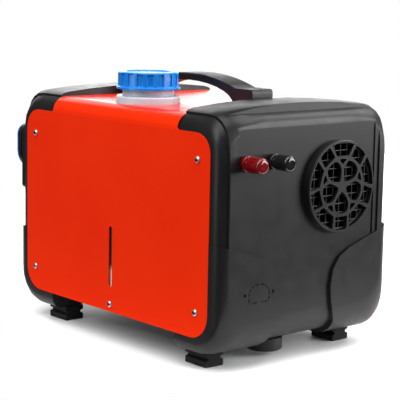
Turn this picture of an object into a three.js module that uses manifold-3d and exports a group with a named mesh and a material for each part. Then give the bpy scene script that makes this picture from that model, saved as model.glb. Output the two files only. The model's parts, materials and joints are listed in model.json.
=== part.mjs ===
// Portable diesel air heater: a folded steel wrap between two moulded end caps, with tank, burner and controls.
// Millimetres. X runs along the casing towards the intake end, Y towards the back, Z up.
// The origin is on the floor, under the middle of the heater's outer box.
import * as THREE from 'three';
import { mergeVertices } from 'three/addons/utils/BufferGeometryUtils.js';
import Module from 'manifold-3d';

const wasm = await Module();
wasm.setup();

// ---------------------------------------------------------------- driving sizes
const gap = 0.3;                 // between pieces that touch
const runGap = 0.4;              // round anything that turns or travels

// Feet
const footHeight = 17.2;
const footLength = 34;           // along X
const footWidth = 25;            // along Y
const footNeck = 17;             // waist of the profile
const footSole = 7.5;            // thickness of its lower flange
const footGroove = 3.8;          // height of the groove over it
const footX = 129;               // foot centres from the casing's middle
const footInset = 30.75;         // plates to the foot centres

// Steel wrap: front plate, top and back plate in one sheet
const plateLength = 336;
const plateHeight = 216.5;       // plate foot to shoulder
const plateDrop = 18.5;          // end caps hang this far below the plates
const casingDepth = 252.5;       // outside of front plate to outside of back plate
const casingHeight = 234;        // plate foot to the flat top
const sheet = 1.2;
const tongueLength = 228;        // the top, between the two end caps
const topBend = 18;
const plateCornerLow = 27;
const plateCornerHigh = 23;
const notchFillet = 3;
const slotWidth = 6;             // fuel level slot
const slotLength = 69;
const slotRise = 28.5;           // plate foot to the slot's lower end

// End caps
const flankReach = 184.5;        // casing middle to the cap's rolled flank
const bandStep = 2;              // raised band over the flank
const shelfStep = 0.2;           // shelf inside the band, over the flank
const panelStep = 2.5;           // raised lower panels over the flank
const recessStep = 1.2;           // central field under the flank
const capWall = 3;
const archRise = 5.3;            // top band: drop from the middle to archSpan
const archSpan = 100;
const archCrest = 10.5;          // top band over the steel top
const sideRoll = 13;             // end face to front and back
const topRoll = 32;              // end face to top
const lowRoll = 38;              // end face to bottom
const cornerTop = 24;            // section corners at the cap's mouth, then at its end face
const cornerTopEnd = 40;
const cornerLow = 13;
const cornerLowEnd = 38;
const bandInset = 12;            // plate plane to the band's outer edge
const bandWidth = 7.5;
const shelfWidth = 6.3;
const shelfRise = 1.4;           // steel top plane up to the top of the shelf
const shelfCorner = 17;          // upper corners of the shelf and of the central field
const fieldCorner = 12;
const riserTop = 26;             // end face back to the top of the arched riser
const riserRun = 8;
const panelTop = 104.4;           // plate foot to the lower panel's upper edge at the flank
const panelDrop = 30;            // the same edge sits this much lower at the outlet end
const panelKnee = 83.4;          // the same where the edge starts to turn down
const panelKneeIn = 62;          // plate plane to that turn
const panelWidth = 91;           // plate plane to the panel's inner edge
const panelWaist = 42;           // height where that edge is upright

// Screws
const screwHead = 3.9;           // radius
const screwHeadHeight = 2.2;
const screwShank = 1.9;
const screwLength = 11;
const screwEnd = 19;             // plate end to screw
const screwHigh = 189;           // plate foot to the upper screws
const screwLow = 28;
const screwMid = 9;
const bossWall = 2.6;

// Air intake
const airInset = 83.7;           // burner axis to the back plate
const airZ = 153;                // burner axis over the plate foot
const intakeRadius = 50.5;
const intakeRim = 2.6;
const intakeProud = 8.7;
const intakeBarDepth = 4;
const intakePlug = 49.2;         // spigot that plugs into the cap
const intakePlugDepth = 10;
const petals = 5;
const petalFoot = 6;             // teardrop windows, from the middle of the grille
const petalTop = 30.2;
const forkRadius = 20.5;         // where a rib forks
const ringFoot = 33.4;           // inner edge of the outer windows
const ribLow = 16.5;              // half angles of the outer windows at their inner and outer edges
const ribHigh = 21;
const petalLow = 15.5;
const petalHigh = 11.5;
const meshPitch = 9.7;
const meshBar = 1.4;
const meshThick = 1.6;

// Warm air outlet
const ductRadius = 37.5;
const ductWall = 2.5;
const ductLength = 25;
const ductFlange = 47;
const ductFlangeThick = 3;
const louvres = 5;
const louvreThick = 2;

// Combustion air inlet under the intake end
const inletX = 135;
const inletInset = 112;          // front plate to its axis
const inletRadius = 20.3;
const inletBore = 12;
const inletGroundGap = 6;

// Binding posts
const postZ = 186;               // over the plate foot
const postInset = [34.6, 73.1];  // front plate to the posts
const postRadius = 8.5;
const postReach = 28.7;          // out of the end face
const collarLength = 6;
const washerThick = 1.6;
const studRadius = 2.5;
const knobFlutes = 12;

// Knock-out for a mains inlet
const knockInset = 55;           // front plate to its middle
const knockZ = 48.2;
const knockWidth = 28;
const knockHeight = 18.8;
const knockScrews = 40;
const knockScrewRadius = 1.75;
const knockSlit = 1.1;

// Controller on the outlet end
const podInset = 9;              // front plate to its nearest edge
const podWidth = 100;
const podHeight = 57;
const podZ = 165.5;              // its middle over the plate foot
const podTopCorner = 12;
const podLowCorner = 25;
const podDepth = 8.8;
const bezelDepth = 8.5;
const bezelRim = 3;
const trimDepth = 1.9;           // coloured trim round its face
const plateThick = 3;
const plateSink = 1.4;           // face to trim edge
const padMargin = 4;
const padFoot = 118;             // plate foot to the lower edge of the mounting pad
const padStep = 2.6;             // pad over the flank
const dialRadius = 10.5;
const dialProud = 8.5;           // over the trim
const stemRadius = 3;
const dialInset = 16.4;          // pod's near edge to the dial's centre
const dialHeight = 162;          // over the plate foot
const keyInset = 16;             // pod's far edge to the keys
const keySpacing = 22;
const keyRadius = 4.2;
const keyTravel = 0.8;
const keyProud = 1.6;
const keyFlange = 5.6;
const screenWidth = 40;
const screenHeight = 26;

// Tank and filler
const tankLength = 210;
const tankDepth = 98;
const tankRound = 11;
const tankWall = 2.6;
const tankFront = 1.8;           // plate to tank
const fillerInset = 51;          // front plate to the filler's axis
const collarRadius = 36;
const collarProud = 8;
const neckRadius = 29;
const neckBore = 24.5;
const fillerCapLow = 15.7;       // steel top to the cap's lower edge
const fillerCapTop = 35;
const skirtRadius = 36;
const skirtHeight = 3;
const gripRadius = 34.3;
const fluteDepth = 1.5;
const flutes = 18;
const flutePhase = 7;            // degrees
const sealThick = 1.9;
const capPlateThick = 3;
const capDish = 24;
const capDishDepth = 1.5;
const neckHeight = fillerCapTop - capPlateThick - sealThick - 2 * gap;

// Handle
const handleWidth = 30;
const handleSpan = 152;          // open arch at its foot
const handleRise = 23.3;         // open arch at its middle
const handleTop = 32;            // steel top to the crown
const handleBlock = 108;         // middle to the block's outer end
const handleBlockHeight = 19;
const handleLug = 5.5;
const handleLugHeight = 5;
const handleLugWidth = 20;
const handleScrewX = 99;
const handleScrewSink = 2.6;
const handleEase = 2;            // rounded long edges

// Burner
const burnerSize = 116;
const burnerRound = 32;
const burnerWall = 2.5;
const burnerFar = 150;           // intake end of the burner case from the casing's middle
const burnerNear = -146;         // where the case starts to narrow
const nozzleRadius = 33.5;
const exchangerRadius = 33;
const exchangerFins = 12;
const finHeight = 13;
const finThick = 2;
const exchangerNear = -128;
const exchangerFar = 22;
const motorRadius = 25;
const motorNear = 58;
const motorFar = 108;
const shaftRadius = 3;
const fanRadius = 46;
const fanBlades = 7;
const fanNear = 116;
const fanDepth = 20;
const impellerRadius = 30;
const impellerNear = 36;
const impellerDepth = 13;
const exhaustX = -20;
const exhaustRadius = 12;
const exhaustFoot = 22;          // floor to the exhaust's end
const airStubX = 15;
const airStubRadius = 12;
const standFar = 45;
const standNear = -65;
const standThick = 2;

// Fuel pump
const pumpInset = 27;            // tank end to the pump
const pumpBack = 87;             // back plate to its middle
const pumpRadius = 16;
const pumpLength = 82;
const pumpZ = 44;                // over the tray floor
const lineRadius = 2.6;

// ---------------------------------------------------------------- places worked out from the sizes
const halfDepth = casingDepth / 2;
const plateFoot = footHeight + gap + plateDrop;
const capFoot = footHeight + gap;
const steelTop = plateFoot + casingHeight;
const halfPlate = plateLength / 2;
const halfTongue = tongueLength / 2;
const innerFace = halfDepth - sheet;
const capFront = innerFace - gap;
const capMouth = halfTongue + gap;
const fieldReach = flankReach - recessStep;
const bandReach = flankReach + bandStep;
const panelReach = flankReach + panelStep;
const padReach = flankReach + padStep;
const capCrest = steelTop + archCrest;
const bandHalf = halfDepth - bandInset;
const shelfHalf = bandHalf - bandWidth;
const fieldHalf = shelfHalf - shelfWidth;
const fieldFoot = capFoot + panelStep + gap;
const burnerZ = plateFoot + airZ;
const airY = halfDepth - airInset;
const postY = postInset.map((inset) => inset - halfDepth);
const knockY = knockInset - halfDepth;
const podNear = podInset - halfDepth;
const fillerY = fillerInset - halfDepth;
const footY = halfDepth - footInset;
const inletY = inletInset - halfDepth;
const pumpX = pumpInset - tankLength / 2;
const pumpY = halfDepth - pumpBack;
const trayFloor = plateFoot + 2;
const tankFoot = plateFoot + screwMid + screwShank + 3;
const tankTop = steelTop - sheet - 4;
const podY = podNear + podWidth / 2;
const podMiddle = plateFoot + podZ;
const podFace = padReach + gap + podDepth + gap + bezelDepth;
const dialReach = podFace + dialProud;
const postEnd = fieldReach + postReach;
const dialY = podNear + dialInset;
const dialZ = plateFoot + dialHeight;
const bezelBack = podFace - bezelDepth;
const shellFoot = burnerZ - burnerSize / 2;

// ---------------------------------------------------------------- finishes
const finish = (color, roughness, metalness = 0) => new THREE.MeshStandardMaterial({ color, roughness, metalness });
const redPaint = finish(0xde2a12, 0.25);
const blackPlastic = finish(0x26272a, 0.5);
const blackRubber = finish(0x1b1b1c, 0.8);
const milkyPlastic = finish(0xd9dce0, 0.4);
const bluePlastic = finish(0x1464d7, 0.3);
const redPlastic = finish(0x8e0a10, 0.2);
const glossBlack = finish(0x0c0c0d, 0.15);
const zincSteel = finish(0xc4c7ca, 0.3, 0.9);
const castAluminium = finish(0xa9abad, 0.5, 0.8);
const brass = finish(0xc8a24a, 0.3, 0.9);
const blackSteel = finish(0x2b2c2e, 0.5, 0.6);
const boardGreen = finish(0x1d5a34, 0.5);
const screenGlass = finish(0x11161c, 0.1);
const hoseRubber = finish(0x202022, 0.7);

// ---------------------------------------------------------------- making and joining solids
function outward(index, position) {
  const a = new THREE.Vector3();
  const b = new THREE.Vector3();
  const c = new THREE.Vector3();
  let volume = 0;
  for (let i = 0; i < index.length; i += 3) {
    a.fromArray(position, index[i] * 3);
    b.fromArray(position, index[i + 1] * 3);
    c.fromArray(position, index[i + 2] * 3);
    volume += a.dot(b.cross(c));
  }
  if (volume > 0) return index;
  const flipped = index.slice();
  for (let i = 0; i < flipped.length; i += 3) {
    flipped[i] = index[i + 1];
    flipped[i + 1] = index[i];
  }
  return flipped;
}

function solidOf(geometry) {
  geometry.deleteAttribute('normal');
  geometry.deleteAttribute('uv');
  const merged = mergeVertices(geometry, 1e-4);
  const position = new Float32Array(merged.attributes.position.array);
  const index = [];
  for (let i = 0; i < merged.index.count; i += 3) {
    const [a, b, c] = [0, 1, 2].map((k) => merged.index.getX(i + k));
    if (a !== b && b !== c && c !== a) index.push(a, b, c);
  }
  const triVerts = new Uint32Array(outward(index, position));
  return new wasm.Manifold(new wasm.Mesh({ numProp: 3, vertProperties: position, triVerts }));
}

function geometryOf(solid) {
  const mesh = solid.getMesh();
  const geometry = new THREE.BufferGeometry();
  geometry.setAttribute('position', new THREE.BufferAttribute(new Float32Array(mesh.vertProperties), 3));
  geometry.setIndex(new THREE.BufferAttribute(new Uint32Array(mesh.triVerts), 1));
  geometry.computeVertexNormals();
  return geometry;
}

const joined = (first, ...others) => others.reduce((all, one) => all.add(one), first);
const cutBy = (first, ...others) => others.reduce((rest, one) => rest.subtract(one), first);

const axisX = new THREE.Vector3(1, 0, 0);
const axisY = new THREE.Vector3(0, 1, 0);
const axisZ = new THREE.Vector3(0, 0, 1);
const drawnOnYZ = new THREE.Matrix4().makeBasis(axisY, axisZ, axisX);
const drawnOnXZ = new THREE.Matrix4().makeBasis(axisX, axisZ, axisY.clone().negate());

// Extrusions of an outline drawn on the plane square to the named axis
function extrude(shape, depth, options = {}) {
  return new THREE.ExtrudeGeometry(shape, { depth, bevelEnabled: false, curveSegments: 3, ...options });
}

function alongX(shape, from, to, options) {
  return solidOf(extrude(shape, to - from, options).applyMatrix4(drawnOnYZ).translate(from, 0, 0));
}

function alongY(shape, from, to, options) {
  return solidOf(extrude(shape, to - from, options).applyMatrix4(drawnOnXZ).translate(0, to, 0));
}

function alongZ(shape, from, to, options) {
  return solidOf(extrude(shape, to - from, options).translate(0, 0, from));
}

// Revolved profiles: [radius, place along the axis]
function turned(profile, segments) {
  return new THREE.LatheGeometry(profile.map(([r, h]) => new THREE.Vector2(r, h)), segments);
}

const turnedOnX = (profile, y, z, segments = 32) => (
  solidOf(turned(profile, segments).rotateZ(-Math.PI / 2).translate(0, y, z)));
const turnedOnY = (profile, x, z, segments = 24) => solidOf(turned(profile, segments).translate(x, 0, z));
const turnedOnZ = (profile, x, y, segments = 32) => (
  solidOf(turned(profile, segments).rotateX(Math.PI / 2).translate(x, y, 0)));

const rod = (radius, from, to) => [[0, from], [radius, from], [radius, to], [0, to]];
const tube = (outer, inner, from, to) => [[inner, from], [outer, from], [outer, to], [inner, to], [inner, from]];

function block(x0, x1, y0, y1, z0, z1) {
  const box = new THREE.BoxGeometry(x1 - x0, y1 - y0, z1 - z0);
  return solidOf(box.translate((x0 + x1) / 2, (y0 + y1) / 2, (z0 + z1) / 2));
}

// Rectangle with its own radius at the lower and the upper corners
function roundedRect(x0, x1, y0, y1, low, high = low) {
  const shape = new THREE.Shape();
  shape.moveTo(x0 + low, y0);
  shape.lineTo(x1 - low, y0);
  shape.absarc(x1 - low, y0 + low, low, -Math.PI / 2, 0);
  shape.lineTo(x1, y1 - high);
  shape.absarc(x1 - high, y1 - high, high, 0, Math.PI / 2);
  shape.lineTo(x0 + high, y1);
  shape.absarc(x0 + high, y1 - high, high, Math.PI / 2, Math.PI);
  shape.lineTo(x0, y0 + low);
  shape.absarc(x0 + low, y0 + low, low, Math.PI, Math.PI * 1.5);
  return shape;
}

// Skin over rings of points, each ring with as many points as the next
function loft(rings) {
  const count = rings[0].length;
  const middle = (ring) => ring.reduce((sum, p) => sum.add(p), new THREE.Vector3()).divideScalar(count);
  const points = [...rings.flat(), middle(rings[0]), middle(rings[rings.length - 1])];
  const index = [];
  for (let r = 0; r + 1 < rings.length; r += 1) {
    for (let i = 0; i < count; i += 1) {
      const a = r * count + i;
      const b = r * count + (i + 1) % count;
      index.push(a, b, b + count, a, b + count, a + count);
    }
  }
  const last = (rings.length - 1) * count;
  for (let i = 0; i < count; i += 1) {
    const next = (i + 1) % count;
    index.push(rings.length * count, next, i, rings.length * count + 1, last + i, last + next);
  }
  const geometry = new THREE.BufferGeometry().setFromPoints(points);
  geometry.setIndex(index);
  return geometry;
}

function piece(name, solid, material, position = [0, 0, 0]) {
  const mesh = new THREE.Mesh(solid.isBufferGeometry ? solid : geometryOf(solid), material);
  mesh.name = name;
  mesh.position.set(...position);
  return mesh;
}

const degrees = (angle) => angle * Math.PI / 180;
const polar = (radius, angle) => [radius * Math.cos(degrees(angle)), radius * Math.sin(degrees(angle))];

// ---------------------------------------------------------------- feet
function footGeometry() {
  const half = footWidth / 2;
  const hollow = footGroove / 2;
  const root = footNeck / 2 + hollow;
  const high = footSole + footGroove;
  const ease = 0.8;
  const shape = new THREE.Shape();
  shape.moveTo(-half + ease, 0);
  shape.lineTo(half - ease, 0);
  shape.lineTo(half, ease);
  shape.lineTo(half, footSole - ease);
  shape.lineTo(half - ease, footSole);
  shape.lineTo(root, footSole);
  shape.absarc(root, footSole + hollow, hollow, -Math.PI / 2, -Math.PI * 1.5, true);
  shape.lineTo(half - ease, high);
  shape.lineTo(half, high + ease);
  shape.lineTo(half, footHeight);
  shape.lineTo(-half, footHeight);
  shape.lineTo(-half, high + ease);
  shape.lineTo(-half + ease, high);
  shape.lineTo(-root, high);
  shape.absarc(-root, footSole + hollow, hollow, Math.PI / 2, -Math.PI / 2, true);
  shape.lineTo(-half + ease, footSole);
  shape.lineTo(-half, footSole - ease);
  shape.lineTo(-half, ease);
  return geometryOf(alongX(shape, -footLength / 2, footLength / 2, { curveSegments: 3 }));
}

// ---------------------------------------------------------------- steel wrap and base tray
function plateOutline(grow) {
  const half = halfPlate + grow;
  const low = plateFoot - grow;
  const shoulder = plateFoot + plateHeight + grow;
  const tongue = halfTongue + grow;
  const over = steelTop + topBend;
  const lowR = plateCornerLow + grow;
  const highR = plateCornerHigh + grow;
  const shape = new THREE.Shape();
  shape.moveTo(-half + lowR, low);
  shape.lineTo(half - lowR, low);
  shape.absarc(half - lowR, low + lowR, lowR, -Math.PI / 2, 0);
  shape.lineTo(half, shoulder - highR);
  shape.absarc(half - highR, shoulder - highR, highR, 0, Math.PI / 2);
  shape.lineTo(tongue + notchFillet, shoulder);
  shape.absarc(tongue + notchFillet, shoulder + notchFillet, notchFillet, -Math.PI / 2, -Math.PI, true);
  shape.lineTo(tongue, over);
  shape.lineTo(-tongue, over);
  shape.lineTo(-tongue, shoulder + notchFillet);
  shape.absarc(-tongue - notchFillet, shoulder + notchFillet, notchFillet, 0, -Math.PI / 2, true);
  shape.lineTo(-half + highR, shoulder);
  shape.absarc(-half + highR, shoulder - highR, highR, Math.PI / 2, Math.PI);
  shape.lineTo(-half, low + lowR);
  shape.absarc(-half + lowR, low + lowR, lowR, Math.PI, Math.PI * 1.5);
  return shape;
}

// Where the plate screws sit: [X, Z]
const cornerScrews = [-1, 1].flatMap((side) => (
  [screwLow, screwHigh].map((rise) => [side * (halfPlate - screwEnd), plateFoot + rise])));
const plateScrews = [...cornerScrews, [0, plateFoot + screwMid]];

function casingWrap() {
  const bend = topBend;
  const inner = topBend - sheet;
  const sheetShape = new THREE.Shape();
  sheetShape.moveTo(-halfDepth, plateFoot);
  sheetShape.lineTo(-halfDepth, steelTop - bend);
  sheetShape.absarc(-halfDepth + bend, steelTop - bend, bend, Math.PI, Math.PI / 2, true);
  sheetShape.lineTo(halfDepth - bend, steelTop);
  sheetShape.absarc(halfDepth - bend, steelTop - bend, bend, Math.PI / 2, 0, true);
  sheetShape.lineTo(halfDepth, plateFoot);
  sheetShape.lineTo(innerFace, plateFoot);
  sheetShape.lineTo(innerFace, steelTop - bend);
  sheetShape.absarc(halfDepth - bend, steelTop - bend, inner, 0, Math.PI / 2);
  sheetShape.lineTo(-halfDepth + bend, steelTop - sheet);
  sheetShape.absarc(-halfDepth + bend, steelTop - bend, inner, Math.PI / 2, Math.PI);
  sheetShape.lineTo(-innerFace, plateFoot);
  const folded = alongX(sheetShape, -halfPlate, halfPlate);
  const outline = alongY(plateOutline(0), -halfDepth - 5, halfDepth + 5);
  const filler = turnedOnZ(rod(collarRadius + 0.8, steelTop - 10, steelTop + 10), 0, fillerY, 36);
  const slotFoot = plateFoot + slotRise;
  const slot = roundedRect(-slotWidth / 2, slotWidth / 2, slotFoot, slotFoot + slotLength, slotWidth / 2 - 0.01);
  const window = alongY(slot, -halfDepth - 5, -innerFace + 5, { curveSegments: 5 });
  const holes = plateScrews.map(([x, z]) => (
    turnedOnY(rod(screwShank + gap, -halfDepth - 5, halfDepth + 5), x, z, 8)));
  const handleHoles = [-1, 1].map((side) => (
    turnedOnZ(rod(screwShank + gap, steelTop - 10, steelTop + 10), side * handleScrewX, 0, 12)));
  return cutBy(folded.intersect(outline), filler, window, ...holes, ...handleHoles);
}

function baseTray() {
  const half = halfTongue - gap;
  const lip = capFront;
  const lipTop = plateFoot + 19;
  const shape = new THREE.Shape();
  shape.moveTo(-lip, lipTop);
  shape.lineTo(-lip, trayFloor - sheet);
  shape.lineTo(lip, trayFloor - sheet);
  shape.lineTo(lip, lipTop);
  shape.lineTo(lip - sheet, lipTop);
  shape.lineTo(lip - sheet, trayFloor);
  shape.lineTo(-lip + sheet, trayFloor);
  shape.lineTo(-lip + sheet, lipTop);
  const screwHoles = turnedOnY(rod(screwShank + gap, -halfDepth - 5, halfDepth + 5), 0, plateFoot + screwMid, 12);
  const exhaustHole = turnedOnZ(rod(exhaustRadius + 6, trayFloor - 10, trayFloor + 10), exhaustX, airY, 24);
  return cutBy(alongX(shape, -half, half), screwHoles, exhaustHole);
}

// ---------------------------------------------------------------- end caps
const archDrop = (y) => archRise * (y / archSpan) ** 2;

// Section of a cap square to X: straight sides, arched top, round corners
function capSection(x, half, low, crest, cornerHigh, cornerFoot, steps) {
  const ring = [];
  const corner = (cy, cz, r, from, to) => {
    for (let i = 0; i <= steps; i += 1) {
      const [y, z] = polar(r, from + (to - from) * i / steps);
      ring.push(new THREE.Vector3(x, cy + y, cz + z));
    }
  };
  const shoulder = half - cornerHigh;
  const top = crest - archDrop(shoulder);
  corner(half - cornerFoot, low + cornerFoot, cornerFoot, -90, 0);
  corner(shoulder, top - cornerHigh, cornerHigh, 0, 85);
  for (let i = 1; i < 6; i += 1) {
    const y = shoulder * (1 - i / 3);
    ring.push(new THREE.Vector3(x, y, crest - archDrop(y)));
  }
  corner(-shoulder, top - cornerHigh, cornerHigh, 95, 180);
  corner(-half + cornerFoot, low + cornerFoot, cornerFoot, 180, 270);
  return ring;
}

// Cap skin that rolls from its sides into its end face
function capSkin(start, reach, half, low, crest, steps = 5) {
  const roll = (x, radius) => {
    const past = Math.max(0, x - (reach - radius));
    return radius - Math.sqrt(Math.max(0, radius ** 2 - past ** 2));
  };
  const turns = steps > 3 ? [0, 22, 38, 50, 60, 70, 80, 90] : [0, 30, 55, 90];
  const stations = turns.map((a) => reach - lowRoll * (1 - Math.sin(degrees(a))));
  const rings = [start, ...stations].map((x) => {
    const share = roll(x, lowRoll) / lowRoll;
    const shareTop = roll(x, topRoll) / topRoll;
    return capSection(x, half - roll(x, sideRoll), low + roll(x, lowRoll), crest - roll(x, topRoll),
      cornerTop + (cornerTopEnd - cornerTop) * shareTop, cornerLow + (cornerLowEnd - cornerLow) * share, steps);
  });
  return loft(rings);
}

// Raised panel at a lower corner, as seen from the end: upper edge, knee, then a drawn-in lower edge
function panelOutline(side, drop) {
  const y = (inset) => side * (halfDepth - inset);
  const z = (rise) => plateFoot + rise;
  const shape = new THREE.Shape();
  shape.moveTo(y(-20), z(panelTop - drop));
  shape.lineTo(y(0), z(panelTop - drop - 1));
  shape.lineTo(y(panelKneeIn), z(panelKnee - drop));
  shape.quadraticCurveTo(y(panelWidth), z(panelKnee - drop - 10), y(panelWidth), z(panelWaist - drop * 0.5));
  shape.quadraticCurveTo(y(panelWidth), z(panelWaist * 0.4 - drop * 0.25), y(panelWidth - 11), z(0));
  shape.lineTo(y(panelWidth - 15), z(-plateDrop - 10));
  shape.lineTo(y(-20), z(-plateDrop - 10));
  return shape;
}

// What is cut away to leave the shelf or the field: outside an XZ profile, inside a round-cornered outline from the end
function recessCutter(reach, top, half, corner) {
  const riserX = bandReach - riserTop;
  const rollR = reach - riserX - riserRun;
  const low = fieldFoot + reach - fieldReach;
  const shape = new THREE.Shape();
  shape.moveTo(riserX, capCrest + 2);
  shape.lineTo(riserX + riserRun, top);
  shape.absarc(riserX + riserRun, top - rollR, rollR, Math.PI / 2, 0, true);
  shape.lineTo(reach, low + lowRoll);
  shape.absarc(reach - lowRoll, low + lowRoll, lowRoll, 0, -Math.PI / 2, true);
  shape.lineTo(reach - lowRoll, 0);
  shape.lineTo(panelReach + 20, 0);
  shape.lineTo(panelReach + 20, capCrest + 10);
  shape.lineTo(riserX - 1, capCrest + 10);
  const outline = roundedRect(-half, half, -10, top + corner * 0.55, 1, corner);
  return alongY(shape, -half - 1, half + 1).intersect(alongX(outline, 0, panelReach + 25));
}

// The common cap, at the intake end: a shell with an open mouth, screw bosses and a pocket for the plates
function plainCap(panelDrop) {
  const flank = solidOf(capSkin(capMouth, flankReach, capFront, fieldFoot, capCrest - bandStep));
  const bandBox = block(0, bandReach + 5, -bandHalf, bandHalf, plateFoot + panelKnee - panelDrop - 5, capCrest + 5);
  const band = solidOf(capSkin(capMouth, bandReach, halfDepth, capFoot, capCrest)).intersect(bandBox);
  const panelSkin = solidOf(capSkin(capMouth, panelReach, halfDepth, capFoot, capCrest));
  const panels = [-1, 1].map((side) => alongX(panelOutline(side, panelDrop), 0, panelReach + 5));
  const raised = panels.map((region) => panelSkin.intersect(region));
  const shelf = cutBy(recessCutter(flankReach + shelfStep, steelTop + shelfRise, shelfHalf, shelfCorner), ...panels);
  const field = cutBy(recessCutter(fieldReach, steelTop + shelfRise, fieldHalf, fieldCorner), ...panels);
  const inset = capWall + recessStep;
  const hollow = solidOf(capSkin(capMouth + capWall, flankReach - inset, capFront - capWall,
    fieldFoot + capWall, capCrest - bandStep - inset, 3));
  const mouth = block(capMouth - 5, capMouth + capWall + 5, -capFront + 8, capFront - 8,
    trayFloor + 4, steelTop - 8);
  const pockets = [-1, 1].map((side) => alongY(plateOutline(gap),
    Math.min(side * capFront, side * (capFront + 9)), Math.max(side * capFront, side * (capFront + 9))));
  const bosses = cornerScrews.filter(([x]) => x > 0).flatMap(([x, z]) => [-1, 1].map((side) => {
    const deep = side * (capFront - screwLength - bossWall);
    return turnedOnY(rod(screwShank + gap + bossWall, Math.min(deep, side * (capFront - 1)),
      Math.max(deep, side * (capFront - 1))), x, z, 10);
  }));
  const pilots = cornerScrews.filter(([x]) => x > 0).map(([x, z]) => joined(...[-1, 1].map((side) => {
    const deep = side * (capFront - screwLength);
    const out = side * (capFront + 5);
    return turnedOnY(rod(screwShank + gap, Math.min(deep, out), Math.max(deep, out)), x, z, 8);
  })));
  const shell = cutBy(joined(flank, band, ...raised), shelf, field, hollow, mouth, ...pockets);
  return cutBy(joined(shell, ...bosses), ...pilots);
}

// Dashed cuts round the mains inlet knock-out, and its two screw holes
function knockOutCuts() {
  const half = knockWidth / 2;
  const tall = knockHeight / 2;
  const cut = 6.5;
  const z = plateFoot + knockZ;
  const outline = [[-half, -tall], [half, -tall], [half, tall - cut], [half - cut, tall], [-half + cut, tall],
    [-half, tall - cut]];
  const deep = panelReach - 1.6;
  const slits = outline.map(([y0, z0], i) => {
    const [y1, z1] = outline[(i + 1) % outline.length];
    const length = Math.hypot(y1 - y0, z1 - z0);
    const bridge = length > knockWidth * 0.6 ? 0.42 : 0.3;
    const slit = new THREE.BoxGeometry(4, length * (1 - bridge) / 2, knockSlit);
    return [0.25, 0.75].map((share) => {
      const copy = slit.clone().rotateX(Math.atan2(z1 - z0, y1 - y0));
      copy.translate(deep + 2, knockY + y0 + (y1 - y0) * share, z + z0 + (z1 - z0) * share);
      return solidOf(copy);
    });
  }).flat();
  const holes = [-1, 1].map((side) => (
    turnedOnX(rod(knockScrewRadius, deep, panelReach + 4), knockY + side * knockScrews / 2, z, 12)));
  return joined(...slits, ...holes);
}

function intakeCap(cap) {
  const intake = turnedOnX(rod(intakePlug + gap, capMouth, panelReach + 5), airY, burnerZ, 40);
  const studs = postY.map((y) => turnedOnX(rod(studRadius + gap, capMouth, panelReach + 5), y, plateFoot + postZ, 12));
  const inlet = turnedOnZ(rod(inletBore + 3.5 + gap, 0, fieldFoot + capWall + 5), inletX, inletY, 24);
  return cutBy(cap, intake, ...studs, inlet, knockOutCuts());
}

function podOutline(grow) {
  const y = podY;
  const half = podWidth / 2 + grow;
  const tall = podHeight / 2 + grow;
  return roundedRect(y - half, y + half, podMiddle - tall, podMiddle + tall, podLowCorner + grow, podTopCorner + grow);
}

function outletCap(cap) {
  const padLow = plateFoot + padFoot;
  const padHigh = podMiddle + podHeight / 2 + padMargin;
  const outline = roundedRect(podNear - padMargin, podNear + podWidth + padMargin, padLow, padHigh, 5, 14);
  const pad = alongX(outline, -padReach, -flankReach + capWall + recessStep);
  const bore = turnedOnX(rod(ductRadius + gap, -padReach - 5, -capMouth), airY, burnerZ, 32);
  const cable = turnedOnX(rod(6, -padReach - 5, -capMouth), podY, podMiddle, 16);
  return cutBy(joined(cap, pad), bore, cable);
}

// ---------------------------------------------------------------- air intake grille and guard
// Windows in the grille, as rings of [radius, degrees]
function intakeWindows() {
  const windows = [];
  for (let k = 0; k < petals; k += 1) {
    const rib = 90 + k * 360 / petals;
    const petal = rib + 180 / petals;
    const half = [[10, 24], [15, 29.5], [20, 30], [25, 25], [petalTop - 1.2, 17.5], [petalTop - 0.2, 9]];
    windows.push([[petalFoot, petal], ...half.map(([radius, angle]) => [radius, petal - angle]), [petalTop, petal],
      ...half.map(([radius, angle]) => [radius, petal + angle]).reverse()]);
    windows.push([[forkRadius + 3.6, rib], [petalTop - 1, rib - 10.5], [petalTop - 0.2, rib - 7], [petalTop, rib],
      [petalTop - 0.2, rib + 7], [petalTop - 1, rib + 10.5]]);
    for (const [middle, low, high] of [[rib, ribLow, ribHigh], [petal, petalLow, petalHigh]]) {
      const arc = (radius, half) => [-1, -0.33, 0.33, 1].map((share) => [radius, middle + share * half]);
      windows.push([...arc(ringFoot, low - 1), [ringFoot + 1.6, middle + low + 1],
        ...arc(intakeRadius - intakeRim, high).reverse(), [ringFoot + 1.6, middle - low - 1]]);
    }
  }
  return windows;
}

// The grille's face is at X 0 of its own frame
function intakeGrille() {
  const rimInner = intakeRadius - intakeRim;
  const face = new THREE.Shape();
  face.absarc(0, 0, rimInner + 1, 0, Math.PI * 2);
  face.holes = intakeWindows().map((ring) => (
    new THREE.Path().setFromPoints(ring.map(([radius, angle]) => new THREE.Vector2(...polar(radius, angle))))));
  const pierced = alongX(face, -intakeBarDepth, 0, { curveSegments: 20 });
  const rim = turnedOnX([[rimInner + 0.5, 0], [rimInner + 0.5, -intakeProud - intakePlugDepth],
    [intakePlug, -intakeProud - intakePlugDepth], [intakePlug, -intakeProud], [intakeRadius, -intakeProud],
    [intakeRadius, -1], [intakeRadius - 1, 0], [rimInner + 0.5, 0]], 0, 0, 40);
  return joined(rim, pierced);
}

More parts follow.
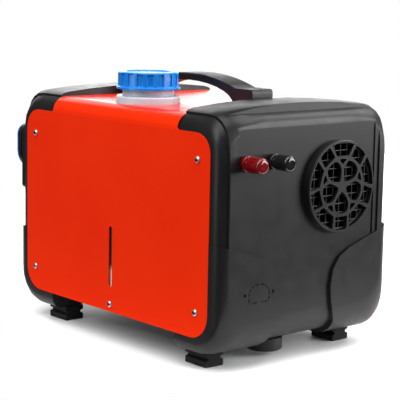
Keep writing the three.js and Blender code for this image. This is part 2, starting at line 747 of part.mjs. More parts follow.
function guardMesh() {
  const rim = intakeRadius - intakeRim - gap;
  const reach = Math.floor(rim / meshPitch);
  const half = (meshPitch - meshBar) / 2;
  const openings = [];
  for (let i = -reach; i <= reach; i += 1) {
    for (let j = -reach; j <= reach; j += 1) {
      const [y, z] = [i * meshPitch, j * meshPitch];
      if (Math.hypot(Math.abs(y) + half, Math.abs(z) + half) < rim - 0.8) {
        openings.push(block(-1, meshThick + 1, y - half, y + half, z - half, z + half));
      }
    }
  }
  return cutBy(turnedOnX(rod(rim, 0, meshThick), 0, 0, 32), ...openings);
}

// ---------------------------------------------------------------- warm air outlet
function outletCollar() {
  const inner = ductRadius - ductWall;
  const face = -fieldReach - gap;
  const end = face - ductLength;
  return turnedOnX([[inner, end], [ductRadius - 0.8, end], [ductRadius, end + 0.8], [ductRadius, face - ductFlangeThick],
    [ductFlange - 1, face - ductFlangeThick], [ductFlange, face - ductFlangeThick + 1], [ductFlange, face],
    [ductRadius, face], [ductRadius, face + capWall + 6], [inner, face + capWall + 6], [inner, end]], airY, burnerZ, 28);
}

function outletLouvre() {
  const ring = ductRadius - ductWall - gap;
  const inner = ring - 2.5;
  const x0 = -fieldReach - gap - ductLength + 12;
  const x1 = x0 + 14;
  const slats = [];
  for (let i = 0; i < louvres; i += 1) {
    const z = (i - (louvres - 1) / 2) * (2 * inner) / louvres;
    const half = Math.sqrt(ring ** 2 - (Math.abs(z) + 3.2) ** 2) - 0.3;
    const slat = new THREE.BoxGeometry(11, 2 * half, louvreThick);
    slat.rotateY(degrees(-22));
    slats.push(solidOf(slat.translate((x0 + x1) / 2, airY, burnerZ + z)));
  }
  const post = block(x0 + 4, x1 - 4, airY - 1.5, airY + 1.5, burnerZ - inner - 1, burnerZ + inner + 1);
  return joined(turnedOnX(tube(ring, inner, x0, x1), airY, burnerZ, 28), ...slats, post);
}

// ---------------------------------------------------------------- combustion air inlet and its hose
function airInletSocket() {
  const bore = inletBore;
  const neck = inletBore + 3.5;
  const top = fieldFoot + capWall + 12;
  return turnedOnZ([[bore, inletGroundGap], [inletRadius - 1, inletGroundGap], [inletRadius, inletGroundGap + 1],
    [inletRadius, fieldFoot - gap], [neck, fieldFoot - gap], [neck, top], [bore, top], [bore, inletGroundGap]],
  inletX, inletY, 24);
}

// Tube along a smooth route, with or without a bore
function routed(points, radius, bore, steps, sides) {
  const path = new THREE.CatmullRomCurve3(points.map((p) => new THREE.Vector3(...p)), false, 'centripetal');
  const section = new THREE.Shape();
  section.absarc(0, 0, radius, 0, Math.PI * 2);
  if (bore) section.holes.push(new THREE.Path().absarc(0, 0, bore, 0, Math.PI * 2, true));
  const options = { steps, extrudePath: path, curveSegments: sides, bevelEnabled: false };
  return solidOf(new THREE.ExtrudeGeometry(section, options));
}

function airHose() {
  const low = fieldFoot + capWall + 12 + gap;
  const high = shellFoot - 16 - gap;
  return routed([[inletX, inletY, low], [inletX, inletY, low + 14], [inletX - 8, inletY + 6, low + 26],
    [85, 5, low + 42], [42, 34, high - 28], [airStubX + 3, airY - 2, high - 14], [airStubX, airY, high - 7],
    [airStubX, airY, high]], airStubRadius + 2.5, airStubRadius - 1, 12, 5);
}

// ---------------------------------------------------------------- binding posts (in their own frame, on the face at X 0)
function postBase() {
  const end = collarLength;
  const stud = postReach - 4;
  const lathe = turnedOnX([[0, -14], [studRadius, -14], [studRadius, gap], [postRadius - 0.8, gap],
    [postRadius, gap + 0.8], [postRadius, end - 0.8], [postRadius - 0.8, end], [studRadius, end], [studRadius, stud],
    [0, stud]], 0, 0, 14);
  return lathe;
}

const postWasher = () => turnedOnX(tube(postRadius - 1.5, studRadius + runGap, 0, washerThick), 0, 0, 14);

function postKnob() {
  const start = collarLength + washerThick + 2 * gap;
  const outline = new THREE.Shape();
  const steps = knobFlutes * 3;
  for (let i = 0; i <= steps; i += 1) {
    const angle = i * 360 / steps;
    const radius = postRadius - 0.45 + 0.45 * Math.cos(degrees(angle * knobFlutes));
    const [y, z] = polar(radius, angle);
    if (i === 0) outline.moveTo(y, z);
    else if (i < steps) outline.lineTo(y, z);
  }
  const grip = alongX(outline, start, postReach - 1.5);
  const crown = turnedOnX([[0, start], [postRadius - 0.9, start], [postRadius - 0.9, postReach - 1.2],
    [postRadius - 2.4, postReach], [0, postReach]], 0, 0, 16);
  const bore = turnedOnX(rod(studRadius + runGap, start - 1, postReach - 4 + gap + 0.5), 0, 0, 10);
  return cutBy(joined(grip, crown), bore);
}

// ---------------------------------------------------------------- controller
function podHousing() {
  const back = padReach + gap;
  const wall = 2.4;
  const outer = alongX(podOutline(-1.2), -back - podDepth, -back);
  const inner = alongX(podOutline(-1.2 - wall), -back - podDepth - 1, -back - wall);
  const cable = turnedOnX(rod(5, -back - 5, -back + 5), podY, podMiddle, 16);
  return cutBy(outer, inner, cable);
}

// Ring of the pod's outline between two X places, its front edge eased
function podRing(from, to, grow, rim, ease) {
  const solid = alongX(podOutline(grow - ease), from + ease, to - ease, {
    bevelEnabled: true, bevelThickness: ease, bevelSize: ease, bevelSegments: 1 });
  return cutBy(solid, alongX(podOutline(-rim), from - 5, to + 5));
}

const podBezel = () => podRing(-podFace + trimDepth + gap, -bezelBack, 0, bezelRim, 0.5);

const podTrim = () => podRing(-podFace, -podFace + trimDepth, -0.3, bezelRim, 0.6);

const keyPlaces = [-1, 1].map((side) => [podNear + podWidth - keyInset, podMiddle + side * keySpacing / 2]);
const screenMiddle = [dialY + dialRadius + 6 + screenWidth / 2, podMiddle];

function podPlate() {
  const face = podFace - plateSink;
  const back = face - plateThick;
  const plate = alongX(podOutline(-bezelRim - gap), -face, -back);
  const dialBore = turnedOnX(rod(stemRadius + runGap, -face - 5, -back + 5), dialY, dialZ, 12);
  const keyHoles = keyPlaces.map(([y, z]) => turnedOnX(rod(keyRadius + runGap, -face - 5, -back + 5), y, z, 14));
  const [y, z] = screenMiddle;
  const window = alongX(roundedRect(y - screenWidth / 2 - gap, y + screenWidth / 2 + gap, z - screenHeight / 2 - gap,
    z + screenHeight / 2 + gap, 2), -face - 5, -face + 1.8);
  const edge = podRing(-back - 0.5, -bezelBack, -bezelRim - gap, bezelRim + gap + 2, 0.2);
  return cutBy(joined(plate, edge), dialBore, ...keyHoles, window);
}

function podScreen() {
  const face = podFace - plateSink;
  const [y, z] = screenMiddle;
  return alongX(roundedRect(y - screenWidth / 2, y + screenWidth / 2, z - screenHeight / 2, z + screenHeight / 2, 1.7),
    -face, -face + 1.8 - gap);
}

// Dial and key: turned along X, front towards -X, in their own frame with the tip at X 0
function podDial() {
  const depth = dialProud + plateSink - gap;
  const grip = new THREE.Shape();
  const steps = 30;
  for (let i = 0; i < steps; i += 1) {
    const [y, z] = polar(dialRadius - (i % 2) * 0.6, i * 360 / steps);
    if (i === 0) grip.moveTo(y, z);
    else grip.lineTo(y, z);
  }
  const crown = turnedOnX([[0, 0.6], [dialRadius - 2.6, 0.6], [dialRadius - 2, 0], [dialRadius - 1.2, 1.2],
    [dialRadius - 1.2, depth], [0, depth]], 0, 0, 18);
  const stem = turnedOnX(rod(stemRadius, depth - 0.5, depth + gap + plateThick + 1), 0, 0, 12);
  return joined(alongX(grip, 1, depth), crown, stem);
}

function podKey() {
  const shoulder = keyProud + plateThick + gap + keyTravel;
  return turnedOnX([[0, 0.4], [keyRadius - 1, 0], [keyRadius, 0.8], [keyRadius, shoulder], [keyFlange, shoulder],
    [keyFlange, shoulder + 1], [0, shoulder + 1]], 0, 0, 14);
}

// ---------------------------------------------------------------- fuel tank, filler cap and seal
function fuelTank() {
  const front = -innerFace + tankFront;
  const low = tankFoot;
  const high = tankTop;
  const half = tankLength / 2;
  const body = (inset, bevel) => {
    const inner = bevel - inset;
    const outline = roundedRect(-half + bevel, half - bevel, low + bevel, high - bevel, Math.max(inner, 1));
    return alongY(outline, front + bevel, front + tankDepth - bevel, {
      bevelEnabled: true, bevelThickness: bevel - inset, bevelSize: bevel - inset, bevelSegments: 2, curveSegments: 2 });
  };
  const lip = steelTop + neckHeight;
  const collar = steelTop + collarProud;
  const neck = turnedOnZ([[0, high - 8], [collarRadius, high - 8], [collarRadius, collar - 1], [collarRadius - 1, collar],
    [neckRadius, collar], [neckRadius, lip], [0, lip]], 0, fillerY, 36);
  const bore = turnedOnZ(rod(neckBore, high - tankWall - 5, lip + 5), 0, fillerY, 24);
  const outlet = turnedOnY(rod(5, front + tankDepth - 2, front + tankDepth + 7), pumpX, low + 18, 16);
  const outletBore = turnedOnY(rod(2, front + tankDepth - 12, front + tankDepth + 8), pumpX, low + 18, 10);
  return cutBy(joined(body(0, tankRound), neck, outlet), body(tankWall, tankRound), bore, outletBore);
}

function flutedOutline(radius) {
  const shape = new THREE.Shape();
  const period = 360 / flutes;
  const profile = [[-0.36, 0], [-0.27, 1], [0.27, 1], [0.36, 0]];
  for (let k = 0; k < flutes; k += 1) {
    profile.forEach(([share, deep], i) => {
      const [x, y] = polar(radius - deep * fluteDepth, flutePhase + (k + share) * period);
      if (k === 0 && i === 0) shape.moveTo(x, y);
      else shape.lineTo(x, y);
    });
  }
  return shape;
}

function fillerCap() {
  const low = steelTop + fillerCapLow;
  const top = steelTop + fillerCapTop;
  const inner = gripRadius - fluteDepth;
  const skirt = turnedOnZ([[0, low], [skirtRadius - 0.8, low], [skirtRadius, low + 0.8], [skirtRadius, low + 1.8],
    [skirtRadius - 1.6, low + skirtHeight], [0, low + skirtHeight]], 0, 0, 40);
  const grips = alongZ(flutedOutline(gripRadius), low + 1, top - 2.2);
  const crownRim = turnedOnZ([[0, low + 1], [inner, low + 1], [inner, top - 1.6], [inner - 1.6, top],
    [capDish + 1, top], [capDish, top - capDishDepth], [0, top - capDishDepth]], 0, 0, 40);
  const cavity = turnedOnZ(rod(neckRadius + runGap, low - 5, top - capPlateThick), 0, 0, 32);
  return cutBy(joined(skirt, grips, crownRim), cavity);
}

function fillerSeal() {
  const top = steelTop + fillerCapTop - capPlateThick - gap;
  return turnedOnZ(tube(neckRadius - 0.6, neckBore - 3, top - sealThick, top), 0, 0, 20);
}

// ---------------------------------------------------------------- handle
function carryHandle() {
  const foot = steelTop + gap;
  const crown = steelTop + handleTop;
  const blockTop = foot + handleBlockHeight;
  const arch = handleSpan / 2;
  const archFoot = handleSpan / 2 + 3;
  const drop = crown - blockTop;
  const crownRadius = (archFoot ** 2 + drop ** 2) / (2 * drop);
  const swing = Math.asin(archFoot / crownRadius);
  const shape = new THREE.Shape();
  shape.moveTo(arch, foot);
  shape.lineTo(handleBlock, foot);
  shape.lineTo(handleBlock, blockTop - 5);
  shape.quadraticCurveTo(handleBlock, blockTop, handleBlock - 5, blockTop);
  shape.lineTo(archFoot, blockTop);
  shape.absarc(0, crown - crownRadius, crownRadius, Math.PI / 2 - swing, Math.PI / 2 + swing);
  shape.lineTo(-handleBlock + 5, blockTop);
  shape.quadraticCurveTo(-handleBlock, blockTop, -handleBlock, blockTop - 5);
  shape.lineTo(-handleBlock, foot);
  shape.lineTo(-arch, foot);
  shape.absellipse(0, foot, arch, handleRise, Math.PI, 0, true);
  const half = handleWidth / 2;
  const ease = handleEase;
  const bar = alongY(shape, -half, half, { curveSegments: 7 });
  const trimmed = bar.intersect(alongX(roundedRect(-half, half, foot - 9, crown, 1, ease * 1.8),
    -handleBlock - 1, handleBlock + 1, { curveSegments: 2 }));
  const lugs = [-1, 1].map((side) => {
    const inner = side * (handleBlock - 4);
    const outer = side * (handleBlock + handleLug);
    return block(Math.min(inner, outer), Math.max(inner, outer), -handleLugWidth / 2, handleLugWidth / 2,
      foot, foot + handleLugHeight);
  });
  const holes = [-1, 1].map((side) => joined(
    turnedOnZ(rod(screwShank + gap, foot - 5, blockTop + 5), side * handleScrewX, 0, 12),
    turnedOnZ(rod(screwHead + 1, blockTop - handleScrewSink, blockTop + 5), side * handleScrewX, 0, 20)));
  return cutBy(joined(trimmed, ...lugs), ...holes);
}

// ---------------------------------------------------------------- screws: head towards +Z, seat at Z 0
function panScrew(length) {
  const body = turnedOnZ([[0, -length], [screwShank, -length], [screwShank, 0], [screwHead, 0],
    [screwHead, screwHeadHeight * 0.45], [screwHead * 0.6, screwHeadHeight], [0, screwHeadHeight]], 0, 0, 8);
  const arm = screwHead * 0.5;
  const half = 0.5;
  const cross = new THREE.Shape();
  cross.setFromPoints([[arm, half], [half, half], [half, arm], [-half, arm], [-half, half], [-arm, half], [-arm, -half],
    [-half, -half], [-half, -arm], [half, -arm], [half, -half], [arm, -half]].map(([x, y]) => new THREE.Vector2(x, y)));
  return cutBy(body, alongZ(cross, screwHeadHeight * 0.4, screwHeadHeight + 1));
}

// ---------------------------------------------------------------- burner
// Square-round ring of the burner case at X, `blend` 0 for the case and 1 for the round nozzle
function caseRing(x, blend, inset) {
  const ring = [];
  const straight = burnerSize / 2 - burnerRound;
  const round = burnerRound - inset;
  for (let i = 0; i < 24; i += 1) {
    const angle = (i + 0.5) * 360 / 24;
    const [cy, cz] = polar(1, angle);
    const square = [Math.sign(cy) * straight + polar(round, angle)[0], Math.sign(cz) * straight + polar(round, angle)[1]];
    const circle = polar(nozzleRadius - inset, angle);
    const y = square[0] + (circle[0] - square[0]) * blend;
    const z = square[1] + (circle[1] - square[1]) * blend;
    ring.push(new THREE.Vector3(x, airY + y, burnerZ + z));
  }
  return ring;
}

const nozzleEnd = -fieldReach + capWall + 9;

function burnerShell(inset, stretch) {
  const lead = burnerNear;
  const neckX = (lead + nozzleEnd) / 2 - 4;
  return solidOf(loft([caseRing(burnerFar + stretch, 0, inset), caseRing(lead, 0, inset),
    caseRing((lead * 2 + neckX) / 3, 0.22, inset), caseRing((lead + neckX * 2) / 3, 0.78, inset),
    caseRing(neckX, 1, inset), caseRing(nozzleEnd - stretch, 1, inset)]));
}

function burnerCases() {
  const shell = cutBy(burnerShell(0, 0), burnerShell(burnerWall, 1));
  const far = burnerSize;
  const upperHalf = block(-halfPlate - 20, halfPlate + 20, airY - far, airY + far, burnerZ + gap / 2, burnerZ + far);
  const lowerHalf = block(-halfPlate - 20, halfPlate + 20, airY - far, airY + far, burnerZ - far, burnerZ - gap / 2);
  const pipes = [[exhaustX, exhaustRadius], [airStubX, airStubRadius]].map(([x, radius]) => (
    turnedOnZ(rod(radius + 1.5, shellFoot - 10, shellFoot + 10), x, airY, 24)));
  const plug = turnedOnZ(rod(lineRadius + 1, shellFoot - 10, shellFoot + 10), -60, airY, 12);
  return { upper: shell.intersect(upperHalf), lower: cutBy(shell.intersect(lowerHalf), ...pipes, plug) };
}

function heatExchanger() {
  const parts = [turnedOnX([[0, exchangerNear - 8], [exchangerRadius * 0.6, exchangerNear - 7],
    [exchangerRadius, exchangerNear], [exchangerRadius, exchangerFar], [0, exchangerFar]], airY, burnerZ, 24)];
  for (let i = 0; i < exchangerFins; i += 1) {
    const fin = new THREE.BoxGeometry(exchangerFar - exchangerNear - 16, finThick, finHeight + 4);
    fin.translate((exchangerFar + exchangerNear) / 2 - 4, 0, exchangerRadius + finHeight / 2 - 2);
    parts.push(solidOf(fin.rotateX(degrees(i * 360 / exchangerFins)).translate(0, airY, burnerZ)));
  }
  const foot = shellFoot + burnerWall + gap;
  const base = block(exhaustX - 18, airStubX + 18, airY - 20, airY + 20, foot, burnerZ - exchangerRadius + 6);
  const stubs = [[exhaustX, exhaustRadius], [airStubX, airStubRadius]].map(([x, radius]) => joined(
    turnedOnZ(rod(radius, shellFoot - 16, foot + 2), x, airY, 24)));
  const bores = [[exhaustX, exhaustRadius], [airStubX, airStubRadius]].map(([x, radius]) => (
    turnedOnZ(rod(radius - 2, shellFoot - 20, foot + 12), x, airY, 20)));
  return cutBy(joined(...parts, base, ...stubs), ...bores);
}

function exhaustPipe() {
  const top = shellFoot - 16 - gap;
  return turnedOnZ(tube(exhaustRadius, exhaustRadius - 2, exhaustFoot, top), exhaustX, airY, 16);
}

function motorBody() {
  const shell = turnedOnX([[shaftRadius + runGap, motorNear], [motorRadius - 2, motorNear], [motorRadius, motorNear + 2],
    [motorRadius, motorFar - 2], [motorRadius - 2, motorFar], [shaftRadius + runGap, motorFar],
    [shaftRadius + runGap, motorNear]], airY, burnerZ, 20);
  return shell;
}

// Ring with four arms that holds the motor in the lower and upper case
function motorSpider() {
  const x0 = (motorNear + motorFar) / 2 - 6;
  const x1 = x0 + 12;
  const inner = motorRadius + gap;
  const out = burnerSize / 2 - burnerWall - gap;
  const arms = [0, 1, 2, 3].map((k) => {
    const arm = new THREE.BoxGeometry(x1 - x0, 6, out - inner - 1);
    arm.translate((x0 + x1) / 2, 0, (out + inner + 1) / 2);
    return solidOf(arm.rotateX(degrees(k * 90)).translate(0, airY, burnerZ));
  });
  return joined(turnedOnX(tube(inner + 3, inner, x0, x1), airY, burnerZ, 20), ...arms);
}

function motorShaft() {
  return turnedOnX(rod(shaftRadius, impellerNear - 2, fanNear + fanDepth + 2), airY, burnerZ, 16);
}

function fanWheel() {
  const hub = turnedOnX([[shaftRadius + gap, fanNear], [15, fanNear], [15, fanNear + fanDepth - 5],
    [11, fanNear + fanDepth], [shaftRadius + gap, fanNear + fanDepth], [shaftRadius + gap, fanNear]], airY, burnerZ, 16);
  const blades = [];
  for (let i = 0; i < fanBlades; i += 1) {
    const blade = new THREE.BoxGeometry(2, fanDepth * 1.05, fanRadius - 13);
    blade.rotateZ(degrees(48)).translate(fanNear + fanDepth / 2, 0, (fanRadius + 13) / 2);
    blades.push(solidOf(blade.rotateX(degrees(i * 360 / fanBlades)).translate(0, airY, burnerZ)));
  }
  return joined(hub, ...blades);
}

function burnerImpeller() {
  const x0 = impellerNear;
  const x1 = impellerNear + impellerDepth;
  const disc = turnedOnX([[shaftRadius + gap, x0 + impellerDepth - 3], [impellerRadius, x1 - 3], [impellerRadius, x1],
    [shaftRadius + gap, x1], [shaftRadius + gap, x0 + impellerDepth - 3]], airY, burnerZ, 20);
  const hub = turnedOnX(tube(8, shaftRadius + gap, x0, x1), airY, burnerZ, 16);
  const blades = [];
  for (let i = 0; i < 8; i += 1) {
    const blade = new THREE.BoxGeometry(impellerDepth - 1, 1.6, 18);
    blade.translate((x0 + x1) / 2 - 0.5, 0, 0).rotateX(degrees(35)).translate(0, 4, 19);
    blades.push(solidOf(blade.rotateX(degrees(i * 45)).translate(0, airY, burnerZ)));
  }
  return joined(disc, hub, ...blades);
}

// Steel bridge that carries the burner over the tray
function burnerStand() {
  const top = shellFoot - gap;
  const y0 = airY - 42;
  const y1 = airY + 42;
  const t = standThick;
  const foot = trayFloor + gap;
  const shape = new THREE.Shape();
  shape.moveTo(y0 - 12, foot);
  shape.lineTo(y0 + t, foot);
  shape.lineTo(y0 + t, top - t);
  shape.lineTo(y1 - t, top - t);
  shape.lineTo(y1 - t, foot);
  shape.lineTo(y1 + 12, foot);
  shape.lineTo(y1 + 12, foot + t);
  shape.lineTo(y1, foot + t);
  shape.lineTo(y1, top);
  shape.lineTo(y0, top);
  shape.lineTo(y0, foot + t);
  shape.lineTo(y0 - 12, foot + t);
  const pipes = [[exhaustX, exhaustRadius], [airStubX, airStubRadius]].map(([x, radius]) => (
    turnedOnZ(rod(radius + 4.5, top - 15, top + 10), x, airY, 24)));
  const plug = turnedOnZ(rod(lineRadius + 2, top - 15, top + 10), -60, airY, 12);
  const window = block(standNear + 22, standFar - 22, y0 - 5, y1 + 5, foot + 14, top - 14);
  return cutBy(alongX(shape, standNear, standFar), ...pipes, plug, window);
}

function controlBoard() {
  const z = burnerZ + burnerSize / 2 + gap;
  const board = block(-20, 70, airY - 28, airY + 28, z + 6, z + 7.6);
  const posts = [[-14, -22], [-14, 22], [64, -22], [64, 22]].map(([x, y]) => (
    turnedOnZ(rod(3, z, z + 6.5), x, airY + y, 10)));
  const chips = [[0, -10, 12], [25, 8, 16], [50, -8, 10]].map(([x, y, w]) => (
    block(x - w / 2, x + w / 2, airY + y - w / 2, airY + y + w / 2, z + 7, z + 10)));
  return joined(board, ...posts, ...chips);
}

// ---------------------------------------------------------------- fuel pump and lines
const pumpMiddle = trayFloor + pumpZ;
const tankOutletY = -innerFace + tankFront + tankDepth + 7;
const tankOutletZ = tankFoot + 18;

// Pump: turned on Y, inlet towards the tank
function fuelPump() {
  const y0 = pumpY - pumpLength / 2;
  const y1 = pumpY + pumpLength / 2;
  return turnedOnY([[0, y0], [4, y0], [4, y0 + 12], [9, y0 + 14], [9, y0 + 22], [pumpRadius, y0 + 24],
    [pumpRadius, y1 - 24], [9, y1 - 22], [9, y1 - 14], [4, y1 - 12], [4, y1], [0, y1]], pumpX, pumpMiddle, 16);
}

function pumpBracket() {
  const inner = pumpRadius + gap;
  const ring = turnedOnY(tube(inner + 2, inner, pumpY - 8, pumpY + 8), pumpX, pumpMiddle, 16);
  const leg = block(pumpX - 2, pumpX + 2, pumpY - 8, pumpY + 8, trayFloor + gap, pumpMiddle - inner - 1);
  const foot = block(pumpX - 14, pumpX + 14, pumpY - 8, pumpY + 8, trayFloor + gap, trayFloor + gap + 2);
  return joined(ring, leg, foot);
}

function tankLine() {
  const start = tankOutletY + gap;
  const end = pumpY - pumpLength / 2 - gap;
  return routed([[pumpX, start, tankOutletZ], [pumpX, start + 2, tankOutletZ], [pumpX, start + 6, tankOutletZ + 1],
    [pumpX, (start + end) / 2, (tankOutletZ + pumpMiddle) / 2], [pumpX, end - 6, pumpMiddle - 1],
    [pumpX, end - 2, pumpMiddle], [pumpX, end, pumpMiddle]], lineRadius, 0, 12, 4);
}

function burnerLine() {
  const start = pumpY + pumpLength / 2 + gap;
  const high = burnerZ - exchangerRadius - finHeight - 2;
  return routed([[pumpX, start, pumpMiddle], [pumpX, start + 7, pumpMiddle], [pumpX + 3, start + 12, pumpMiddle + 8],
    [pumpX + 6, start + 6, pumpMiddle + 22], [-64, airY + 14, shellFoot - 22], [-60, airY + 2, shellFoot - 12],
    [-60, airY, shellFoot - 4], [-60, airY, high]], lineRadius, 0, 18, 4);
}

// ---------------------------------------------------------------- the whole heater
const heater = new THREE.Group();
const casing = new THREE.Group();
heater.add(casing);

const mirrored = solidOf(geometryOf(plainCap(panelDrop)).scale(-1, 1, 1));
casing.add(piece('right_end_cap', intakeCap(plainCap(0)), blackPlastic));
casing.add(piece('left_end_cap', outletCap(mirrored), blackPlastic));
casing.add(piece('casing_wrap', casingWrap(), redPaint));
casing.add(piece('base_tray', baseTray(), blackSteel));

const foot = footGeometry();
for (const [end, x] of [['left', -footX], ['right', footX]]) {
  for (const [side, y] of [['front', -footY], ['back', footY]]) {
    casing.add(piece(`foot_${side}_${end}`, foot, blackRubber, [x, y, 0]));
  }
}

const screw = geometryOf(panScrew(screwLength));
plateScrews.forEach(([x, z], i) => {
  const front = piece(`screw_front_${i + 1}`, screw, zincSteel, [x, -halfDepth - gap, z]);
  front.rotation.x = Math.PI / 2;
  const back = piece(`screw_back_${i + 1}`, screw, zincSteel, [x, halfDepth + gap, z]);
  back.rotation.x = -Math.PI / 2;
  casing.add(front, back);
});

const intake = piece('intake_grille', intakeGrille(), blackPlastic);
intake.position.set(fieldReach + gap + intakeProud, airY, burnerZ);
const guard = piece('intake_guard', guardMesh(), blackPlastic);
guard.position.set(fieldReach + gap + intakeProud - intakeBarDepth - gap - meshThick, airY, burnerZ);
casing.add(intake, guard);
casing.add(piece('outlet_collar', outletCollar(), blackPlastic));
casing.add(piece('outlet_louvre', outletLouvre(), blackPlastic));
casing.add(piece('air_inlet_socket', airInletSocket(), blackPlastic));
casing.add(piece('air_inlet_hose', airHose(), hoseRubber));

const postBody = geometryOf(postBase());
const washer = geometryOf(postWasher());
const knob = geometryOf(postKnob());
[['red', redPlastic, postY[0]], ['black', glossBlack, postY[1]]].forEach(([tint, material, y]) => {
  const place = [fieldReach, y, plateFoot + postZ];
  casing.add(piece(`terminal_${tint}_base`, postBody, material, place));
  casing.add(piece(`terminal_${tint}_washer`, washer, brass, [place[0] + collarLength + gap, place[1], place[2]]));
  casing.add(piece(`terminal_${tint}_knob`, knob, material, place));
});

casing.add(piece('controller_housing', podHousing(), blackPlastic));
casing.add(piece('controller_bezel', podBezel(), blackPlastic));
casing.add(piece('controller_trim', podTrim(), bluePlastic));
casing.add(piece('controller_plate', podPlate(), glossBlack));
casing.add(piece('controller_screen', podScreen(), screenGlass));
casing.add(piece('controller_dial', podDial(), blackPlastic, [-dialReach, dialY, dialZ]));
const key = geometryOf(podKey());
keyPlaces.forEach(([y, z], i) => {
  casing.add(piece(`controller_key_${i + 1}`, key, blackRubber, [-podFace + plateSink - keyProud, y, z]));
});

casing.add(piece('fuel_tank', fuelTank(), milkyPlastic));
casing.add(piece('filler_cap', fillerCap(), bluePlastic, [0, fillerY, 0]));
casing.add(piece('filler_seal', fillerSeal(), blackRubber, [0, fillerY, 0]));

casing.add(piece('carry_handle', carryHandle(), blackPlastic));
const handleScrew = geometryOf(panScrew(handleBlockHeight + 2));
[-1, 1].forEach((side, i) => {
  const seat = steelTop + gap + handleBlockHeight - handleScrewSink + gap;
  casing.add(piece(`handle_screw_${i + 1}`, handleScrew, zincSteel, [side * handleScrewX, 0, seat]));
});

const cases = burnerCases();
casing.add(piece('burner_upper_case', cases.upper, blackPlastic));
casing.add(piece('burner_lower_case', cases.lower, blackPlastic));
casing.add(piece('heat_exchanger', heatExchanger(), castAluminium));
casing.add(piece('exhaust_pipe', exhaustPipe(), zincSteel));
casing.add(piece('fan_motor', motorBody(), zincSteel));
casing.add(piece('motor_spider', motorSpider(), castAluminium));
casing.add(piece('motor_shaft', motorShaft(), zincSteel));
casing.add(piece('fan_wheel', fanWheel(), blackPlastic));
casing.add(piece('burner_impeller', burnerImpeller(), castAluminium));
casing.add(piece('burner_stand', burnerStand(), blackSteel));
casing.add(piece('control_board', controlBoard(), boardGreen));
casing.add(piece('fuel_pump', fuelPump(), castAluminium));
casing.add(piece('pump_bracket', pumpBracket(), blackSteel));
casing.add(piece('tank_line', tankLine(), hoseRubber));
casing.add(piece('burner_line', burnerLine(), hoseRubber));

casing.position.x = (dialReach - postEnd) / 2;

export default heater;
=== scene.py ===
import bpy
import json
import math
from mathutils import Matrix, Vector


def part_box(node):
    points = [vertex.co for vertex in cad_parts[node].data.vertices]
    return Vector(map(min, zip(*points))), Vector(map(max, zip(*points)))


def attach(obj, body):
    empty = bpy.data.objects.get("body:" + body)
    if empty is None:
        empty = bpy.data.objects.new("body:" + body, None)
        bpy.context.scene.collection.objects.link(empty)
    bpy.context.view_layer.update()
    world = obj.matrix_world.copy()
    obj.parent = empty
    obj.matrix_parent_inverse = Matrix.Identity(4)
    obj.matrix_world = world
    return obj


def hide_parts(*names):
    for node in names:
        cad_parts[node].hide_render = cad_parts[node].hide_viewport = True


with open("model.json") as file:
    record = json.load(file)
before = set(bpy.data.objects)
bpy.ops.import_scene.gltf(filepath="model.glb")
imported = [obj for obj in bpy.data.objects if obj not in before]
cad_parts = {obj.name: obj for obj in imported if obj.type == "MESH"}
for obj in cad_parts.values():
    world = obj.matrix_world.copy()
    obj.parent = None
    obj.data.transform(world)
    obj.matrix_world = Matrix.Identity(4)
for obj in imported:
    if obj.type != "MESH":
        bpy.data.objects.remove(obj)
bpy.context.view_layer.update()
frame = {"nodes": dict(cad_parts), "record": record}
cadNodes = frame["nodes"]
bodies = frame["record"]["behaviour"]["bodies"]
bodyOfNode = {node: body for body, names in bodies.items() for node in names}
nodeSlot = {part["node"]: part["material_slot"] for part in frame["record"]["subparts"]}
mm = 0.001
print("frame loaded:", len(cadNodes), "nodes")

# how fine the noises are, a grain's usual strength, and the stretch of a noise that most of a surface shows
noiseLook = {"driftDetail": 2.0, "wearDetail": 5.0, "grainDetail": 2.0, "grainRoughness": 0.6,
             "grainStrength": 0.5, "band": (0.3, 0.7)}


def linkNoise(material, scale, detail=3.0, roughness=0.5, stretch=None):
    tree = material.node_tree
    place = tree.nodes.get("place") or tree.nodes.new("ShaderNodeTexCoord")
    place.name = "place"
    noise = tree.nodes.new("ShaderNodeTexNoise")
    noise.inputs["Scale"].default_value = scale
    noise.inputs["Detail"].default_value = detail
    noise.inputs["Roughness"].default_value = roughness
    source = place.outputs["Object"]
    if stretch:
        mapping = tree.nodes.new("ShaderNodeMapping")
        mapping.inputs["Scale"].default_value = stretch
        tree.links.new(source, mapping.inputs["Vector"])
        source = mapping.outputs["Vector"]
    tree.links.new(source, noise.inputs["Vector"])
    return noise


def spread(material, value, low, high):
    ramp = material.node_tree.nodes.new("ShaderNodeMapRange")
    ramp.inputs["From Min"].default_value = noiseLook["band"][0]
    ramp.inputs["From Max"].default_value = noiseLook["band"][1]
    ramp.inputs["To Min"].default_value = low
    ramp.inputs["To Max"].default_value = high
    material.node_tree.links.new(value, ramp.inputs["Value"])
    return ramp.outputs["Result"]


def mixColours(material, factor, first, second):
    mix = material.node_tree.nodes.new("ShaderNodeMix")
    mix.data_type = "RGBA"
    for socket, colour in ((mix.inputs[6], first), (mix.inputs[7], second)):  # its two colour sockets
        if isinstance(colour, tuple):
            socket.default_value = (*colour, 1.0)
        else:
            material.node_tree.links.new(colour, socket)
    material.node_tree.links.new(factor, mix.inputs[0])
    return mix.outputs[2]


